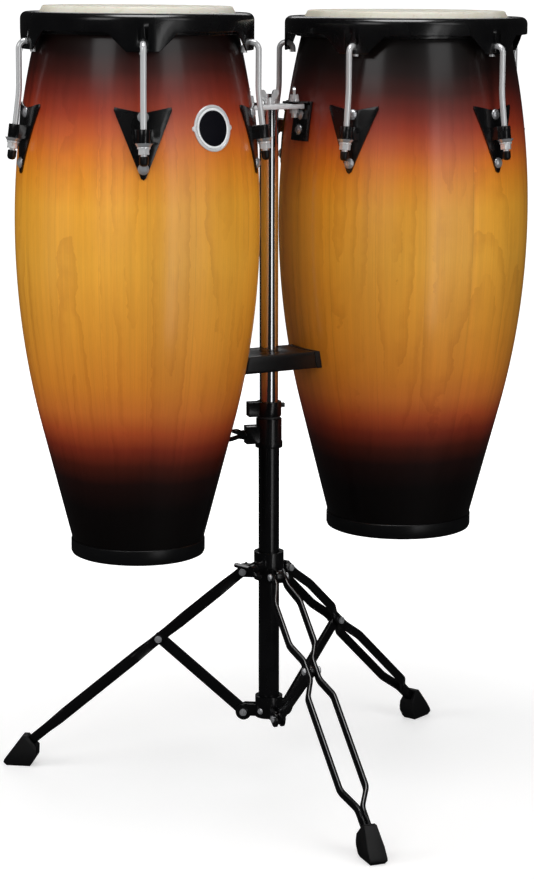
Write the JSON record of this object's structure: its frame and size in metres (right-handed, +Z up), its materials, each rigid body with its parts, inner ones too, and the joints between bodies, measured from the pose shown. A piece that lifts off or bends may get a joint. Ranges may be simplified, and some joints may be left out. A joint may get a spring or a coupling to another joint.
{
  "type": "conga drums",
  "caption": "Pair of tall barrel-shaped hand drums with lug-tuned heads, held side by side on one folding, height-adjustable tripod stand.",
  "frame": {"origin": "centre of the footprint of the whole object, on the floor", "axes": "+Z up, +X along the line from the small drum to the large one, +Y away from the player's side that the picture shows"},
  "size_m": [0.7813, 0.6219, 1.066],
  "materials": {
    "sunburst_wood": "satin lacquer over sunburst stain",
    "rawhide": "matt, dry",
    "black_steel": "satin black powder coat",
    "chrome": "polished",
    "zinc": "bright zinc plate",
    "black_rubber": "matt",
    "black_plastic": "fine grain",
    "nylon": "smooth",
    "badge_metal": "satin chrome"
  },
  "bodies": {
    "base": {"base_tube": "black_steel", "tube_bush": "nylon", "height_clamp": "black_steel", "lower_collar": "black_steel", "base_fasteners": "zinc"},
    "height_bolt": {"height_wing_bolt": "black_steel"},
    "lock": {"memory_lock": "black_steel"},
    "mast": {"upper_tube": "chrome", "crossbar": "chrome", "cradle": "black_plastic", "cradle_pads": "black_rubber"},
    "bar_nut": {"crossbar_wing_nut": "chrome"},
    "slider": {"leg_collar": "black_steel", "leg_collar_pins": "zinc"},
    "slider_bolt": {"leg_collar_wing_bolt": "black_steel"},
    "brace_1": {"brace_1": "black_steel"},
    "leg_1": {"leg_1": "black_steel", "foot_1": "black_rubber", "brace_pin_1": "zinc"},
    "brace_2": {"brace_2": "black_steel"},
    "leg_2": {"leg_2": "black_steel", "foot_2": "black_rubber", "brace_pin_2": "zinc"},
    "brace_3": {"brace_3": "black_steel"},
    "leg_3": {"leg_3": "black_steel", "foot_3": "black_rubber", "brace_pin_3": "zinc"},
    "small_drum": {"small_shell": "sunburst_wood", "small_bottom_ring": "black_rubber", "small_head": "rawhide", "small_lug_plates": "black_steel", "small_fasteners": "chrome", "small_bracket": "black_steel", "badge": "badge_metal"},
    "small_bolt": {"small_wing_bolt": "chrome"},
    "small_tuning": {"small_rim": "black_steel", "small_flesh_hoop": "zinc", "small_hook_rods": "chrome", "small_rod_caps": "black_plastic"},
    "small_nut_1": {"small_nut_1": "chrome"},
    "small_nut_2": {"small_nut_2": "chrome"},
    "small_nut_3": {"small_nut_3": "chrome"},
    "small_nut_4": {"small_nut_4": "chrome"},
    "small_nut_5": {"small_nut_5": "chrome"},
    "large_drum": {"large_shell": "sunburst_wood", "large_bottom_ring": "black_rubber", "large_head": "rawhide", "large_lug_plates": "black_steel", "large_fasteners": "chrome", "large_bracket": "black_steel"},
    "large_bolt": {"large_wing_bolt": "chrome"},
    "large_tuning": {"large_rim": "black_steel", "large_flesh_hoop": "zinc", "large_hook_rods": "chrome", "large_rod_caps": "black_plastic"},
    "large_nut_1": {"large_nut_1": "chrome"},
    "large_nut_2": {"large_nut_2": "chrome"},
    "large_nut_3": {"large_nut_3": "chrome"},
    "large_nut_4": {"large_nut_4": "chrome"},
    "large_nut_5": {"large_nut_5": "chrome"}
  },
  "joints": [
    {"name": "tripod_fold", "type": "hinge", "parent": "base", "child": "brace_1", "pos_m": [0.01527, 0.07573, 0.093], "axis": [0.3665, -0.9304, 0], "range_deg": [0, 42]},
    {"name": "leg_1_swing", "type": "hinge", "parent": "brace_1", "child": "leg_1", "pos_m": [0.12598, 0.11934, 0.194], "axis": [0.3665, -0.9304, 0], "range_deg": [-85, 1]},
    {"name": "slider_on_leg_1", "type": "hinge", "parent": "leg_1", "child": "slider", "pos_m": [0.01527, 0.07573, 0.295], "axis": [0.3665, -0.9304, 0], "range_deg": [-1, 43]},
    {"name": "leg_2_swing", "type": "hinge", "parent": "slider", "child": "leg_2", "pos_m": [-0.04469, 0.08469, 0.295], "axis": [0.6225, 0.7826, 0], "range_deg": [-43, 1]},
    {"name": "brace_2_swing", "type": "hinge", "parent": "base", "child": "brace_2", "pos_m": [-0.04469, 0.08469, 0.093], "axis": [0.6225, 0.7826, 0], "range_deg": [-1, 43]},
    {"name": "leg_3_swing", "type": "hinge", "parent": "slider", "child": "leg_3", "pos_m": [-0.02247, 0.02828, 0.295], "axis": [-0.989, 0.1478, 0], "range_deg": [-43, 1]},
    {"name": "brace_3_swing", "type": "hinge", "parent": "base", "child": "brace_3", "pos_m": [-0.02247, 0.02828, 0.093], "axis": [-0.989, 0.1478, 0], "range_deg": [-1, 43]},
    {"name": "slider_bolt_turn", "type": "hinge", "parent": "slider", "child": "slider_bolt", "pos_m": [-0.0173, 0.0629, 0.304], "axis": [-0.9304, -0.3665, 0], "range_deg": [0, 180]},
    {"name": "height_bolt_turn", "type": "hinge", "parent": "base", "child": "height_bolt", "pos_m": [-0.0173, 0.0629, 0.488], "axis": [-0.9659, 0.2588, 0], "range_deg": [0, 180]},
    {"name": "height", "type": "slide", "parent": "base", "child": "lock", "axis": [0, 0, 1], "range_m": [0, 0.2]},
    {"name": "swivel", "type": "hinge", "parent": "lock", "child": "mast", "pos_m": [-0.0173, 0.0629, 0.51], "axis": [0, 0, 1], "continuous": true},
    {"name": "bar_nut_turn", "type": "hinge", "parent": "mast", "child": "bar_nut", "pos_m": [-0.0173, 0.0629, 0.927], "axis": [0, 0, 1], "range_deg": [0, 180]},
    {"name": "small_drum_slide", "type": "slide", "parent": "mast", "child": "small_drum", "axis": [-1, 0, 0], "range_m": [0, 0.006]},
    {"name": "small_bolt_turn", "type": "hinge", "parent": "small_drum", "child": "small_bolt", "pos_m": [-0.0473, 0.0629, 0.927], "axis": [0, 0, 1], "range_deg": [0, 180]},
    {"name": "small_tuning_slide", "type": "slide", "parent": "small_drum", "child": "small_tuning", "axis": [-0.0096, 0, -1], "range_m": [-0.002, 0.004]},
    {"name": "small_nut_1_turn", "type": "hinge", "parent": "small_drum", "child": "small_nut_1", "pos_m": [-0.06872, 0.14477, 0.90658], "axis": [-0.1041, -0.0643, 0.9925], "range_deg": [-580, 1160]},
    {"name": "small_nut_2_turn", "type": "hinge", "parent": "small_drum", "child": "small_nut_2", "pos_m": [-0.24656, 0.22582, 0.90829], "axis": [0.0355, -0.1279, 0.9911], "range_deg": [-580, 1160]},
    {"name": "small_nut_3_turn", "type": "hinge", "parent": "small_drum", "child": "small_nut_3", "pos_m": [-0.3786, 0.08172, 0.90956], "axis": [0.1392, -0.0148, 0.9902], "range_deg": [-580, 1160]},
    {"name": "small_nut_4_turn", "type": "hinge", "parent": "small_drum", "child": "small_nut_4", "pos_m": [-0.28236, -0.08839, 0.90864], "axis": [0.0636, 0.1188, 0.9909], "range_deg": [-580, 1160]},
    {"name": "small_nut_5_turn", "type": "hinge", "parent": "small_drum", "child": "small_nut_5", "pos_m": [-0.09084, -0.04942, 0.9068], "axis": [-0.0867, 0.0882, 0.9923], "range_deg": [-580, 1160]},
    {"name": "large_drum_slide", "type": "slide", "parent": "mast", "child": "large_drum", "axis": [1, 0, 0], "range_m": [0, 0.006]},
    {"name": "large_bolt_turn", "type": "hinge", "parent": "large_drum", "child": "large_bolt", "pos_m": [0.0217, 0.0629, 0.927], "axis": [0, 0, 1], "range_deg": [0, 180]},
    {"name": "large_tuning_slide", "type": "slide", "parent": "large_drum", "child": "large_tuning", "axis": [-0.007, 0, -1], "range_m": [-0.002, 0.004]},
    {"name": "large_nut_1_turn", "type": "hinge", "parent": "large_drum", "child": "large_nut_1", "pos_m": [0.26559, 0.23115, 0.89751], "axis": [-0.042, -0.121, 0.9918], "range_deg": [-580, 1160]},
    {"name": "large_nut_2_turn", "type": "hinge", "parent": "large_drum", "child": "large_nut_2", "pos_m": [0.05862, 0.17954, 0.89896], "axis": [0.1069, -0.0839, 0.9907], "range_deg": [-580, 1160]},
    {"name": "large_nut_3_turn", "type": "hinge", "parent": "large_drum", "child": "large_nut_3", "pos_m": [0.04374, -0.03326, 0.89906], "axis": [0.1176, 0.0692, 0.9906], "range_deg": [-580, 1160]},
    {"name": "large_nut_4_turn", "type": "hinge", "parent": "large_drum", "child": "large_nut_4", "pos_m": [0.24151, -0.11317, 0.89768], "axis": [-0.0247, 0.1266, 0.9916], "range_deg": [-580, 1160]},
    {"name": "large_nut_5_turn", "type": "hinge", "parent": "large_drum", "child": "large_nut_5", "pos_m": [0.37863, 0.05024, 0.89672], "axis": [-0.1233, 0.0091, 0.9923], "range_deg": [-580, 1160]}
  ],
  "couplings": [
    {"joint": "leg_1_swing", "follows": "tripod_fold", "ratio": -2},
    {"joint": "slider_on_leg_1", "follows": "tripod_fold", "ratio": 1},
    {"joint": "leg_2_swing", "follows": "tripod_fold", "ratio": -1},
    {"joint": "brace_2_swing", "follows": "tripod_fold", "ratio": 1},
    {"joint": "leg_3_swing", "follows": "tripod_fold", "ratio": -1},
    {"joint": "brace_3_swing", "follows": "tripod_fold", "ratio": 1},
    {"joint": "small_nut_1_turn", "follows": "small_tuning_slide", "rad_per_m": 5026.5},
    {"joint": "small_nut_2_turn", "follows": "small_tuning_slide", "rad_per_m": 5026.5},
    {"joint": "small_nut_3_turn", "follows": "small_tuning_slide", "rad_per_m": 5026.5},
    {"joint": "small_nut_4_turn", "follows": "small_tuning_slide", "rad_per_m": 5026.5},
    {"joint": "small_nut_5_turn", "follows": "small_tuning_slide", "rad_per_m": 5026.5},
    {"joint": "large_nut_1_turn", "follows": "large_tuning_slide", "rad_per_m": 5026.5},
    {"joint": "large_nut_2_turn", "follows": "large_tuning_slide", "rad_per_m": 5026.5},
    {"joint": "large_nut_3_turn", "follows": "large_tuning_slide", "rad_per_m": 5026.5},
    {"joint": "large_nut_4_turn", "follows": "large_tuning_slide", "rad_per_m": 5026.5},
    {"joint": "large_nut_5_turn", "follows": "large_tuning_slide", "rad_per_m": 5026.5}
  ]
}
